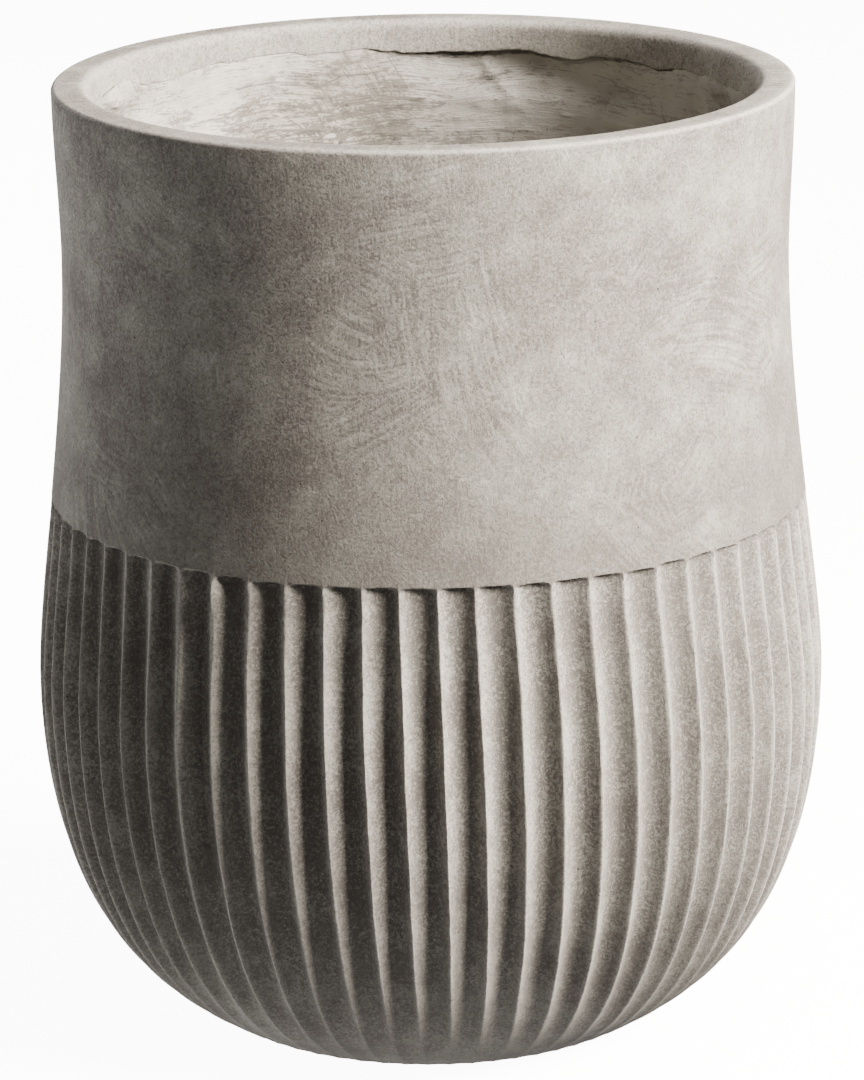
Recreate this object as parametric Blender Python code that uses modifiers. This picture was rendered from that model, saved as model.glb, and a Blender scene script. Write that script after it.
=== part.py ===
"""Round-bellied planter: a fluted cast shell, its hand-laid lining, a drain plug and four foot pads.

The frame has +Z up, its origin on the floor at the pot's centre, and the photographed side towards -Y.
"""

import math
from collections import namedtuple

import bmesh
import bpy
from mathutils import Vector
from mathutils.geometry import interpolate_bezier

# Clearance between pieces that touch on the real pot
SEAT_GAP = 0.0003

# Outline of the shell, measured at the crests between the flutes
POT_HEIGHT = 0.360
FOOT_RADIUS = 0.0891
FOOT_FLARE = math.radians(57.0)
BELLY_RADIUS = 0.1507
BELLY_HEIGHT = 0.132
WAIST_RADIUS = 0.1369
WAIST_HEIGHT = 0.296
RIM_RADIUS = 0.1389

# How far the outline keeps its direction on leaving each of those places
FOOT_PULL = 0.018
BELLY_PULL_DOWN = 0.100
BELLY_PULL_UP = 0.030
WAIST_PULL_DOWN = 0.058
WAIST_PULL_UP = 0.015
RIM_PULL = 0.022

# Rim, and the cast lip that hangs inside it
LIP_WIDTH = 0.0142
LIP_DEPTH = 0.0145
RIM_EDGE_ROUND = 0.0044
MOUTH_EDGE_ROUND = 0.0018

# Flutes: shallow channels side by side, from a flat shoulder down to the foot, where they run out
FLUTE_COUNT = 64
FLUTE_TOP = 0.2035
FLUTE_DEPTH = 0.0033
FLUTE_FOOT_DEPTH = 0.0008
FLUTE_RUN_OUT = 0.045
FLUTE_TURN = math.radians(1.5)

# Walls and floors
SHELL_WALL = 0.0065
SHELL_FLOOR = 0.008
LINING_WALL = 0.0050
LINING_FLOOR = 0.007
FOOT_RING_WIDTH = 0.029
UNDERSIDE_RECESS = 0.003

# Drain hole, and the rubber plug that closes it from inside
DRAIN_RADIUS = 0.011
PLUG_CLEARANCE = 0.0003
PLUG_TAPER = 0.0009
PLUG_NOSE_CHAMFER = 0.001
PLUG_SHORTFALL = 0.001
PLUG_SOCKET_RADIUS = 0.006
PLUG_SOCKET_DEPTH = 0.008
PLUG_FLANGE_WIDTH = 0.0065
PLUG_FLANGE_HEIGHT = 0.003
PLUG_NECK_RADIUS = 0.0035
PLUG_NECK_HEIGHT = 0.005
PLUG_KNOB_RADIUS = 0.0055
PLUG_KNOB_HEIGHT = 0.004
PLUG_EDGE_ROUND = 0.001

# Stick-on pads under the foot ring
PAD_COUNT = 4
PAD_RADIUS = 0.008
PAD_THICKNESS = 0.002
PAD_INSET = 0.0155
PAD_EDGE_ROUND = 0.0005
FIRST_PAD_ANGLE = math.radians(45.0)

# Colours, as linear values, and how rough each finish is
FACE_COLOR = (0.215, 0.197, 0.176)
FACE_ROUGHNESS = 0.9
BACKING_COLOR = (0.56, 0.54, 0.50)
BACKING_ROUGHNESS = 0.95
RUBBER_COLOR = (0.025, 0.025, 0.027)
RUBBER_ROUGHNESS = 0.6

# Fineness of the mesh: steps across one flute's width, and rows of faces up the wall
CHANNEL_STEPS = 4
BAND_STEPS = 2
BOWL_ROWS = 7
BELLY_ROWS = 3
BAND_ROWS = 4
NECK_ROWS = 2
RIM_ROUND_ROWS = 3
SMALL_ROUND_ROWS = 2
CURVE_SAMPLES = 200
PLUG_STEPS = 24
PAD_STEPS = 24
SMOOTH_ANGLE = math.radians(30.0)
WELD = 0.00001

# One ring of the shell's surface: its crest radius, height, steps across a flute and channel depth
Ring = namedtuple("Ring", "radius height steps depth", defaults=(1, 0.0))
# A place on the wall's outline, with the direction that points straight out of the wall there
WallPoint = namedtuple("WallPoint", "place outward")


def clear_scene():
    for obj in list(bpy.data.objects):
        bpy.data.objects.remove(obj, do_unlink=True)


def new_collection(name):
    collection = bpy.data.collections.new(name)
    bpy.context.scene.collection.children.link(collection)
    return collection


def new_material(name, color, roughness):
    material = bpy.data.materials.new(name)
    material.use_nodes = True
    shader = material.node_tree.nodes["Principled BSDF"]
    shader.inputs["Base Color"].default_value = (*color, 1.0)
    shader.inputs["Roughness"].default_value = roughness
    shader.inputs["Metallic"].default_value = 0.0
    return material


def new_piece(name, mesh, collection, material, frame):
    """A named piece with its material and smooth rounds, hung from the pot's own frame."""
    mesh.name = name
    mesh.materials.append(material)
    mesh.shade_smooth()
    mesh.set_sharp_from_angle(angle=SMOOTH_ANGLE)
    piece = bpy.data.objects.new(name, mesh)
    collection.objects.link(piece)
    piece.parent = frame
    return piece


def spaced(start, end, count):
    """Evenly spaced values from start, stopping one step short of end."""
    return [start + (end - start) * step / count for step in range(count)]


def arc(center, radius, start, end, steps):
    """Points on a circle about center, from one angle in degrees to another."""
    angles = [math.radians(start + (end - start) * step / steps) for step in range(steps + 1)]
    return [center + radius * Vector((math.cos(angle), math.sin(angle))) for angle in angles]


def outline_samples():
    """The wall's outline as close (radius, height) points, from the foot to the rim."""
    foot = Vector((FOOT_RADIUS, 0.0))
    belly = Vector((BELLY_RADIUS, BELLY_HEIGHT))
    waist = Vector((WAIST_RADIUS, WAIST_HEIGHT))
    rim = Vector((RIM_RADIUS, POT_HEIGHT))
    flare = Vector((math.sin(FOOT_FLARE), math.cos(FOOT_FLARE)))
    up = Vector((0.0, 1.0))
    bowl = interpolate_bezier(
        foot, foot + FOOT_PULL * flare, belly - BELLY_PULL_DOWN * up, belly, CURVE_SAMPLES
    )
    body = interpolate_bezier(
        belly, belly + BELLY_PULL_UP * up, waist - WAIST_PULL_DOWN * up, waist, CURVE_SAMPLES
    )
    neck = interpolate_bezier(
        waist, waist + WAIST_PULL_UP * up, rim - RIM_PULL * up, rim, CURVE_SAMPLES
    )
    return bowl + body[1:] + neck[1:]


def stretch_at(chain, height):
    """The two neighbours in a rising chain of (radius, height) points that this height lies between."""
    return next(pair for pair in zip(chain, chain[1:]) if pair[1].y >= height)


def place_at(chain, height):
    low, high = stretch_at(chain, height)
    return low.lerp(high, (height - low.y) / (high.y - low.y))


def wall_point(samples, height):
    """The outline's place and outward direction at one height."""
    low, high = stretch_at(samples, height)
    along = (high - low).normalized()
    return WallPoint(place_at(samples, height), Vector((along.y, -along.x)))


def fluted_rows():
    """Wall points from the foot up to the shoulder that the flutes end at.

    Up to the belly they keep even steps along the curve, which sets them closer where it bends more.
    """
    samples = outline_samples()
    heights = [samples[round(step)].y for step in spaced(0, CURVE_SAMPLES - 1, BOWL_ROWS)]
    heights += spaced(BELLY_HEIGHT, FLUTE_TOP, BELLY_ROWS)
    return [wall_point(samples, height) for height in [*heights, FLUTE_TOP]]


def smooth_rows():
    """Wall points from the flutes' shoulder up to where the rim's edge begins to round over."""
    samples = outline_samples()
    rim_edge = POT_HEIGHT - RIM_EDGE_ROUND
    heights = spaced(FLUTE_TOP, WAIST_HEIGHT, BAND_ROWS)
    heights += spaced(WAIST_HEIGHT, rim_edge, NECK_ROWS)
    return [wall_point(samples, height) for height in [*heights, rim_edge]]


def inner_face(inset, low, high):
    """The wall's face at a depth of inset, as (radius, height) points between two heights.

    Every second row is kept, the same ones at any inset, so faces on two pieces stay parallel.
    """
    rows = fluted_rows() + smooth_rows()[1:]
    kept = rows[:-1:2] + rows[-1:]
    face = [point.place - inset * point.outward for point in kept]
    between = [place for place in face if low < place.y < high]
    return [place_at(face, low), *between, place_at(face, high)]


def channel_depth(height):
    """Depth of the flutes at this height, square to the wall: full, but fading towards the foot."""
    share = min(height / FLUTE_RUN_OUT, 1.0)
    eased = share * share * (3.0 - 2.0 * share)
    return FLUTE_FOOT_DEPTH + (FLUTE_DEPTH - FLUTE_FOOT_DEPTH) * eased


def shell_rings():
    """The shell's surface as rings, up its outside, over the rim, down the inside and out by the drain."""
    mouth_radius = RIM_RADIUS - LIP_WIDTH
    lip_bottom = POT_HEIGHT - LIP_DEPTH
    foot_inner_radius = FOOT_RADIUS - FOOT_RING_WIDTH
    recess_radius = foot_inner_radius - UNDERSIDE_RECESS

    rings = []
    for point in fluted_rows():
        depth = channel_depth(point.place.y) / point.outward.x
        rings.append(Ring(point.place.x, point.place.y, CHANNEL_STEPS, depth))
    for point in smooth_rows():
        rings.append(Ring(point.place.x, point.place.y, BAND_STEPS))

    edge_center = Vector((rings[-1].radius - RIM_EDGE_ROUND, POT_HEIGHT - RIM_EDGE_ROUND))
    for place in arc(edge_center, RIM_EDGE_ROUND, 0, 90, RIM_ROUND_ROWS)[1:]:
        rings.append(Ring(place.x, place.y, BAND_STEPS))
    mouth_center = Vector((mouth_radius + MOUTH_EDGE_ROUND, POT_HEIGHT - MOUTH_EDGE_ROUND))
    for place in arc(mouth_center, MOUTH_EDGE_ROUND, 90, 180, SMALL_ROUND_ROWS):
        rings.append(Ring(place.x, place.y))
    rings.append(Ring(mouth_radius, lip_bottom))

    for place in reversed(inner_face(SHELL_WALL, SHELL_FLOOR, lip_bottom)):
        rings.append(Ring(place.x, place.y))
    rings.append(Ring(DRAIN_RADIUS, SHELL_FLOOR))
    rings.append(Ring(DRAIN_RADIUS, UNDERSIDE_RECESS))
    rings.append(Ring(recess_radius, UNDERSIDE_RECESS))
    rings.append(Ring(foot_inner_radius, 0.0))
    return rings


def ring_vertices(bm, ring):
    """One flute's share of a ring. Across the flute the channel's section is a parabola."""
    vertices = []
    for step in range(ring.steps + 1):
        across = step / ring.steps
        angle = across * math.tau / FLUTE_COUNT
        radius = ring.radius - ring.depth * (1.0 - (2.0 * across - 1.0) ** 2)
        vertices.append(bm.verts.new((radius * math.cos(angle), radius * math.sin(angle), ring.height)))
    return vertices


def join_rings(bm, first, second):
    """Faces between two rings: a strip where their steps agree, and one flat face where they don't."""
    if len(first) != len(second):
        bm.faces.new(first + second[::-1])
        return
    for step in range(len(first) - 1):
        bm.faces.new((first[step], first[step + 1], second[step + 1], second[step]))


def make_shell(collection, material, frame):
    """The cast face of the pot: one flute's slice, lofted through its rings, then spun all the way round."""
    bm = bmesh.new()
    slices = [ring_vertices(bm, ring) for ring in shell_rings()]
    for first, second in zip(slices, slices[1:] + slices[:1]):
        join_rings(bm, first, second)
    copies = FLUTE_COUNT - 1
    bmesh.ops.spin(
        bm,
        geom=bm.verts[:] + bm.edges[:] + bm.faces[:],
        cent=(0.0, 0.0, 0.0),
        axis=(0.0, 0.0, 1.0),
        angle=math.tau * copies / FLUTE_COUNT,
        steps=copies,
        use_duplicate=True,
    )
    bmesh.ops.remove_doubles(bm, verts=bm.verts, dist=WELD)
    mesh = bpy.data.meshes.new("pot_shell")
    bm.to_mesh(mesh)
    bm.free()
    return new_piece("pot_shell", mesh, collection, material, frame)


def turned_mesh(profile, steps, closed):
    """A solid turned about Z from a (radius, height) profile, which is a loop if closed."""
    edges = list(zip(range(len(profile)), range(1, len(profile))))
    if closed:
        edges.append((len(profile) - 1, 0))
    outline = bpy.data.meshes.new("profile")
    outline.from_pydata([(place.x, 0.0, place.y) for place in profile], edges, [])
    blank = bpy.data.objects.new("profile", outline)
    bpy.context.scene.collection.objects.link(blank)
    screw = blank.modifiers.new("turn", "SCREW")
    screw.steps = steps
    screw.render_steps = steps
    screw.use_merge_vertices = True
    screw.merge_threshold = WELD
    turned = bpy.data.meshes.new_from_object(blank.evaluated_get(bpy.context.evaluated_depsgraph_get()))
    bpy.data.objects.remove(blank, do_unlink=True)
    return turned


def make_lining(collection, material, frame):
    """The backing coat inside the shell, from its own floor up to the underside of the lip."""
    underside = SHELL_FLOOR + SEAT_GAP
    floor = underside + LINING_FLOOR
    top = POT_HEIGHT - LIP_DEPTH - SEAT_GAP
    outer_inset = SHELL_WALL + SEAT_GAP
    outside = inner_face(outer_inset, underside, top)
    inside = inner_face(outer_inset + LINING_WALL, floor, top)
    hole = [Vector((DRAIN_RADIUS, underside)), Vector((DRAIN_RADIUS, floor))]
    profile = [*reversed(outside), *hole, *inside]
    mesh = turned_mesh(profile, FLUTE_COUNT, closed=True)
    return new_piece("inner_lining", mesh, collection, material, frame)


def make_plug(collection, material, frame):
    """The bung: a pull knob on a neck, a flange on the lining's floor, and a tapered stem in the drain."""
    seat = SHELL_FLOOR + SEAT_GAP + LINING_FLOOR + SEAT_GAP
    stem_radius = DRAIN_RADIUS - PLUG_CLEARANCE
    nose_radius = stem_radius - PLUG_TAPER
    nose = UNDERSIDE_RECESS + PLUG_SHORTFALL - seat
    flange_radius = stem_radius + PLUG_FLANGE_WIDTH
    knob_bottom = PLUG_FLANGE_HEIGHT + PLUG_NECK_HEIGHT
    knob_top = knob_bottom + PLUG_KNOB_HEIGHT
    edge = PLUG_EDGE_ROUND

    profile = [Vector((0.0, knob_top))]
    knob_side = PLUG_KNOB_RADIUS - edge
    profile += arc(Vector((knob_side, knob_top - edge)), edge, 90, 0, SMALL_ROUND_ROWS)
    profile += arc(Vector((knob_side, knob_bottom + edge)), edge, 0, -90, SMALL_ROUND_ROWS)
    profile += [Vector((PLUG_NECK_RADIUS, knob_bottom)), Vector((PLUG_NECK_RADIUS, PLUG_FLANGE_HEIGHT))]
    flange_edge = Vector((flange_radius - edge, PLUG_FLANGE_HEIGHT - edge))
    profile += arc(flange_edge, edge, 90, 0, SMALL_ROUND_ROWS)
    profile += [
        Vector((flange_radius, 0.0)),
        Vector((stem_radius, 0.0)),
        Vector((nose_radius, nose + PLUG_NOSE_CHAMFER)),
        Vector((nose_radius - PLUG_NOSE_CHAMFER, nose)),
        Vector((PLUG_SOCKET_RADIUS, nose)),
        Vector((PLUG_SOCKET_RADIUS, nose + PLUG_SOCKET_DEPTH)),
        Vector((0.0, nose + PLUG_SOCKET_DEPTH)),
    ]
    mesh = turned_mesh(profile, PLUG_STEPS, closed=False)
    plug = new_piece("drain_plug", mesh, collection, material, frame)
    plug.location.z = seat
    return plug


def make_pad(number, collection, material, frame):
    """One stick-on pad, a round disc with softened edges."""
    bm = bmesh.new()
    bmesh.ops.create_cone(
        bm,
        cap_ends=True,
        segments=PAD_STEPS,
        radius1=PAD_RADIUS,
        radius2=PAD_RADIUS,
        depth=PAD_THICKNESS,
    )
    mesh = bpy.data.meshes.new("foot_pad")
    bm.to_mesh(mesh)
    bm.free()
    pad = new_piece(f"foot_pad_{number + 1}", mesh, collection, material, frame)
    angle = FIRST_PAD_ANGLE + number * math.tau / PAD_COUNT
    pad_circle = FOOT_RADIUS - PAD_INSET
    pad.location = (
        pad_circle * math.cos(angle),
        pad_circle * math.sin(angle),
        -SEAT_GAP - PAD_THICKNESS / 2,
    )
    bevel = pad.modifiers.new("soft_edges", "BEVEL")
    bevel.width = PAD_EDGE_ROUND
    bevel.limit_method = "ANGLE"
    return pad


def main():
    clear_scene()
    parts = new_collection("flower_pot")
    face = new_material("grey_fibre_clay", FACE_COLOR, FACE_ROUGHNESS)
    backing = new_material("pale_backing_coat", BACKING_COLOR, BACKING_ROUGHNESS)
    rubber = new_material("black_rubber", RUBBER_COLOR, RUBBER_ROUGHNESS)

    frame = bpy.data.objects.new("pot_frame", None)
    frame.location.z = PAD_THICKNESS + SEAT_GAP
    frame.rotation_euler.z = FLUTE_TURN
    parts.objects.link(frame)

    make_shell(parts, face, frame)
    make_lining(parts, backing, frame)
    make_plug(parts, rubber, frame)
    for number in range(PAD_COUNT):
        make_pad(number, parts, rubber, frame)


main()
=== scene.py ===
# %% [markdown]
# This script dresses one planter: a round-bellied pot of grey fibre cement, cast in a mould, with a
# plain band above and a skirt of hollow flutes below. The frame that it loads holds the pot's pieces
# at their real sizes. Those solids are true but plain, so finer pieces take their place here and fill
# the same space. Each step looks at one piece or one finish, and then makes it.

# %% Load the frame
import math

import bmesh
import bpy
from mathutils import Matrix, Vector
from mathutils.geometry import interpolate_bezier


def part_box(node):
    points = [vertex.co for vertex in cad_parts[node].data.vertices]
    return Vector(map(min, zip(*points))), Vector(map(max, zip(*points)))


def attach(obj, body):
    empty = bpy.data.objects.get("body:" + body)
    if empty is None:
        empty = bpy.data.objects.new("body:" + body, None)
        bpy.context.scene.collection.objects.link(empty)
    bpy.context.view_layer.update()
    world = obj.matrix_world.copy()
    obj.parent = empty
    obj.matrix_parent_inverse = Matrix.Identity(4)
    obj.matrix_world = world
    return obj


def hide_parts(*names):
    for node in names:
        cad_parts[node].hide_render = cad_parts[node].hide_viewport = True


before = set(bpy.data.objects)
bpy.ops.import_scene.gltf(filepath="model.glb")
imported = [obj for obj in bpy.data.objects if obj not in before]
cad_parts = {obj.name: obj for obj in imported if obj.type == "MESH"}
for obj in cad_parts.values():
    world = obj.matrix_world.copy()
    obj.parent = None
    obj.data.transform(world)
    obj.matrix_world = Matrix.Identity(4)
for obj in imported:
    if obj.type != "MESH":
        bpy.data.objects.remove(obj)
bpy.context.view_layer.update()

MM = 0.001
print("the frame's pieces:", ", ".join(sorted(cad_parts)))

# %% [markdown]
# Both the shapes and the finishes below come from node trees. A sum such as depth * fade + 0.1 takes
# two nodes and three links, which is long to write one by one. So a Value stands for a socket, and
# each sign between two Values adds the Math node that does that sum. The same short forms serve
# Geometry Nodes and shaders, because both use the same Math, Noise and Map Range nodes.

# %% Short forms for node trees
class Value:
    """A number or a vector on its way through a node tree."""

    def __init__(self, graph, socket):
        self.graph = graph
        self.socket = socket

    def __abs__(self):
        return self.graph.math("ABSOLUTE", self)


def give_sign(sign, operation):
    """Lets a Value stand on either side of a sign."""
    setattr(Value, f"__{sign}__", lambda self, other: self.graph.math(operation, self, other))
    setattr(Value, f"__r{sign}__", lambda self, other: self.graph.math(operation, other, self))


for sign, operation in (("add", "ADD"), ("sub", "SUBTRACT"), ("mul", "MULTIPLY"), ("truediv", "DIVIDE")):
    give_sign(sign, operation)


class Graph:
    """A node tree that is being filled."""

    def __init__(self, tree):
        self.tree = tree

    def node(self, kind, settings=(), inputs=()):
        """A new node. Settings are its properties, and inputs are numbers or Values by socket name."""
        made = self.tree.nodes.new(kind)
        for name, setting in dict(settings).items():
            setattr(made, name, setting)
        for name, given in dict(inputs).items():
            self.feed(next(entry for entry in made.inputs if entry.name == name and entry.enabled), given)
        return made

    def feed(self, socket, given):
        if isinstance(given, Value):
            self.tree.links.new(given.socket, socket)
        else:
            socket.default_value = given

    def out(self, made, name=None):
        """A node's output as a Value: the one of that name, or its first."""
        named = [entry for entry in made.outputs if entry.enabled and name in (None, entry.name)]
        return Value(self, named[0])

    def math(self, operation, *given):
        made = self.tree.nodes.new("ShaderNodeMath")
        made.operation = operation
        for socket, number in zip(made.inputs, given):
            self.feed(socket, number)
        return self.out(made)

    def vector(self, operation, first, second):
        made = self.tree.nodes.new("ShaderNodeVectorMath")
        made.operation = operation
        self.feed(made.inputs[0], first)
        self.feed(made.inputs["Scale"] if operation == "SCALE" else made.inputs[1], second)
        return self.out(made)

    def join(self, x, y, z):
        return self.out(self.node("ShaderNodeCombineXYZ", inputs={"X": x, "Y": y, "Z": z}))

    def split(self, vector):
        made = self.node("ShaderNodeSeparateXYZ", inputs={"Vector": vector})
        return [Value(self, output) for output in made.outputs]

    def ramp(self, number, low, high, start=0.0, end=1.0, easing="SMOOTHSTEP"):
        """A number that goes from start to end as another goes from low to high, and stays there."""
        inputs = {"Value": number, "From Min": low, "From Max": high, "To Min": start, "To Max": end}
        return self.out(self.node("ShaderNodeMapRange", {"interpolation_type": easing}, inputs))

    def noise(self, place, grain, detail=2.0, roughness=0.5, seed=None, curl=0.0):
        """Cloudy noise from 0 to 1, in lumps about one grain across. Another seed is another course."""
        inputs = {"Vector": place, "Scale": 1.0 / grain, "Detail": detail, "Roughness": roughness}
        inputs["Distortion"] = curl
        if seed is None:
            return self.out(self.node("ShaderNodeTexNoise", inputs=inputs))
        return self.out(self.node("ShaderNodeTexNoise", {"noise_dimensions": "4D"}, {**inputs, "W": seed}))

    def squeezed(self, place, times):
        """The same place with its height multiplied, which squeezes a pattern along the height."""
        return self.vector("MULTIPLY", place, (1.0, 1.0, times))

    def attribute(self, name):
        """A number that a mesh carries in each of its points."""
        if self.tree.type == "GEOMETRY":
            made = self.node("GeometryNodeInputNamedAttribute", {"data_type": "FLOAT"}, {"Name": name})
            return self.out(made, "Attribute")
        return self.out(self.node("ShaderNodeAttribute", {"attribute_name": name}), "Fac")

    def mix(self, share, first, second):
        """A colour between two colours."""
        inputs = {"Factor": share, "A": first, "B": second}
        return self.out(self.node("ShaderNodeMix", {"data_type": "RGBA"}, inputs))


# %% [markdown]
# The cement's colour is a weak wash of grey over a paler body, worked in with a brush and a sponge, so
# no two square centimetres are alike. A picture of it would repeat or show seams. The finish here is
# worked out from the place in the pot instead, in layers: broad clouds that lean to green or to pink,
# dabs of short brush strokes, and a fine grain. Voronoi cells share the wall out into dabs. Inside each
# dab a noise is stretched along that dab's own direction, which lies flat on the wall because it is
# built from the way around and the way up.

# %% Brush dabs
def brush_dabs(graph, place, dab, length, width, seed):
    """Short strokes that turn a new way in each dab. Sizes are in metres, and the result is from 0 to 1."""
    away = (0.37 * seed, 0.11 * seed, 0.23 * seed)
    inputs = {"Vector": place, "Scale": 1.0 / (dab * 0.6), "Detail": 0.0}
    three_noises = graph.out(graph.node("ShaderNodeTexNoise", inputs=inputs), "Color")
    wander = graph.vector("SUBTRACT", three_noises, (0.5, 0.5, 0.5))
    loose = graph.vector("ADD", place, graph.vector("SCALE", wander, dab * 0.9))
    shifted = graph.vector("ADD", loose, away)
    cells = graph.node("ShaderNodeTexVoronoi", inputs={"Vector": shifted, "Scale": 1.0 / dab})
    chance, bend, _ = graph.split(graph.out(cells, "Color"))
    centre = graph.vector("SUBTRACT", graph.out(cells, "Position"), away)
    centre_x, centre_y, centre_z = graph.split(centre)
    x, y, z = graph.split(place)
    reach = graph.math("SQRT", centre_x * centre_x + centre_y * centre_y)
    around = ((y - centre_y) * centre_x - (x - centre_x) * centre_y) / reach
    up = z - centre_z
    turn = chance * math.tau
    cosine = graph.math("COSINE", turn)
    sine = graph.math("SINE", turn)
    along = around * cosine + up * sine
    across = up * cosine - around * sine + along * along * (bend - 0.5) * (1.6 / dab)
    strokes = graph.join(along / length, across / width, chance * 37.0)
    return graph.noise(strokes, 1.0, 1.0, 0.5)


# %% [markdown]
# The face coat is matt and dry. It is darker low on the band, just above the shoulder, and darker
# towards the foot. Deep in the flutes it is darker, partly dust and partly painted shade where less
# light reaches. The crests and the walls beside them are paler, partly rubbed by handling and partly
# a painted highlight, and handling also rubs the rim pale. The wall's mesh carries two numbers for
# that, which its own tree writes: how deep in a flute each point is, and how near to a crest or a
# rubbed edge. Pinholes are left where air bubbles met the mould. They are too small to model, so they
# are dark spots of painted shade that also dent the bump.

# %% The face coat
def new_material(name):
    """An empty material, its graph, and the place in the pot of whatever it is put on."""
    material = bpy.data.materials.new(name)
    material.use_nodes = True
    material.node_tree.nodes.clear()
    graph = Graph(material.node_tree)
    return material, graph, graph.out(graph.node("ShaderNodeTexCoord"), "Object")


def finish_material(graph, color, roughness, height, depth, strength, specular=0.3):
    """The shader at the end of a finish: matt, with a bump whose full height is depth metres."""
    bump = graph.node("ShaderNodeBump", inputs={"Strength": strength, "Distance": depth, "Height": height})
    inputs = {"Base Color": color, "Roughness": roughness, "Specular IOR Level": specular}
    shader = graph.node("ShaderNodeBsdfPrincipled", inputs={**inputs, "Normal": graph.out(bump)})
    output = graph.node("ShaderNodeOutputMaterial")
    graph.feed(output.inputs["Surface"], graph.out(shader))


DEEP_WASH_AND_SHADE = (0.072, 0.065, 0.057, 1.0)
DARK_WASH = (0.088, 0.080, 0.070, 1.0)
PALE_BODY = (0.300, 0.282, 0.257, 1.0)
GREEN_CLOUD = (0.200, 0.198, 0.160, 1.0)
PINK_CLOUD = (0.200, 0.171, 0.156, 1.0)
CHALK = (0.410, 0.388, 0.354, 1.0)
PAINTED_PIT_SHADE = (0.040, 0.035, 0.030, 1.0)


def make_face_coat():
    material, graph, place = new_material("weathered grey cement")
    height = graph.split(place)[2]
    clouds = graph.noise(graph.squeezed(place, 1.3), 52 * MM, 4.0, 0.62)
    patches = graph.noise(graph.vector("ADD", place, (3.1, 1.7, 0.4)), 17 * MM, 4.0, 0.65)
    small_dabs = brush_dabs(graph, place, 13 * MM, 4.5 * MM, 0.75 * MM, 5.0)
    large_dabs = brush_dabs(graph, place, 42 * MM, 22.0 * MM, 1.5 * MM, 19.0)
    streaky = graph.ramp(graph.noise(graph.vector("ADD", place, (0.3, 2.2, 1.4)), 60 * MM, 1.0), 0.50, 0.62)
    curls = graph.noise(place, 1.9 * MM, 2.0, 0.6, curl=2.2)
    grain = graph.noise(place, 1.2 * MM, 3.0, 0.65)
    fibres = graph.noise(graph.squeezed(place, 0.16), 1.1 * MM, 2.0, 0.5)

    groove = graph.attribute("groove")
    crest = graph.attribute("crest")
    brushed = 1.0 - graph.ramp(groove, 0.0, 0.15) * 0.7
    tone = 0.48 + ((small_dabs - 0.5) * 0.65 + (large_dabs - 0.5) * streaky * 1.5) * brushed
    tone = tone + (curls - 0.5) * (2.4 - groove * 0.5) + (grain - 0.5) * 1.2
    tone = tone + (fibres - 0.5) * (0.3 + groove * 0.7)
    tone = tone + (clouds - 0.5) * 1.3 + (patches - 0.5) * 1.25
    wash = graph.mix(graph.ramp(tone, 0.0, 1.0, 0.0, 1.0, "LINEAR"), DARK_WASH, PALE_BODY)
    leaning = clouds + (patches - 0.5) * 0.8 + (large_dabs - 0.5) * 0.2
    tint = graph.mix(graph.ramp(leaning, 0.42, 0.58), PINK_CLOUD, GREEN_CLOUD)
    color = graph.mix(0.28, wash, tint)

    chalky = graph.ramp(patches + (large_dabs - 0.5) * 0.5 + (clouds - 0.5) * 0.6, 0.58, 0.78) * brushed
    color = graph.mix(chalky * graph.ramp(small_dabs * 0.6 + curls, 0.65, 1.05) * 0.7, color, CHALK)
    # Darker low on the band, just above the shoulder.
    darker_above_shoulder = graph.ramp(height + (clouds - 0.5) * 60 * MM, 205 * MM, 290 * MM, 0.40, 0.0)
    color = graph.mix(darker_above_shoulder * (1.0 - graph.ramp(groove, 0.0, 0.1)), color, DARK_WASH)
    powder = graph.ramp(curls + (grain - 0.5) * 0.8 + (patches - 0.5) * 0.6, 0.46, 0.70)
    color = graph.mix(powder * graph.ramp(groove, 0.0, 0.3) * 0.34, color, CHALK)
    # Painted shade on top of dust: deep in the flutes, where less light reaches, the coat is darker.
    groove_dirt_and_shade = graph.ramp(groove, 0.15, 1.0) * graph.ramp(patches + (fibres - 0.5) * 0.8, 0.25, 0.65, 0.6, 1.0)
    # Darker towards the foot.
    darker_towards_foot = graph.ramp(height + (patches - 0.5) * 60 * MM, 40 * MM, 170 * MM, 0.50, 0.0)
    darkened = graph.math("MAXIMUM", groove_dirt_and_shade * (0.82 - powder * 0.32), darker_towards_foot)
    color = graph.mix(darkened, color, DEEP_WASH_AND_SHADE)
    # Partly painted highlight: the crests and the walls beside them are paler, as wear and as the light they
    # catch.
    color = graph.mix(crest * graph.ramp(grain * 0.8 + curls * 0.6, 0.50, 0.85, 0.30, 0.85), color, CHALK)

    # Pinholes are dark spots: painted shade inside holes too small to model.
    pits = graph.node("ShaderNodeTexVoronoi", inputs={"Vector": place, "Scale": 1.0 / (7.5 * MM)})
    pit_chance = graph.split(graph.out(pits, "Color"))[0]
    pit_size = graph.ramp(pit_chance + crest * 0.25, 0.72, 1.0, 0.0, 0.085, "LINEAR")
    pit = 1.0 - graph.ramp(graph.out(pits, "Distance") / (pit_size + 0.0001), 0.5, 1.0)
    color = graph.mix(pit * 0.85, color, PAINTED_PIT_SHADE)

    roughness = graph.ramp(tone, 0.2, 0.9, 0.95, 0.82, "LINEAR")
    relief = grain * 0.5 + curls * 0.6 + fibres * 0.4 - pit * 0.8
    finish_material(graph, color, roughness, relief, 0.27 * MM, 0.9)
    return material


face_coat = make_face_coat()
print("the face coat has", len(face_coat.node_tree.nodes), "nodes")

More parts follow.
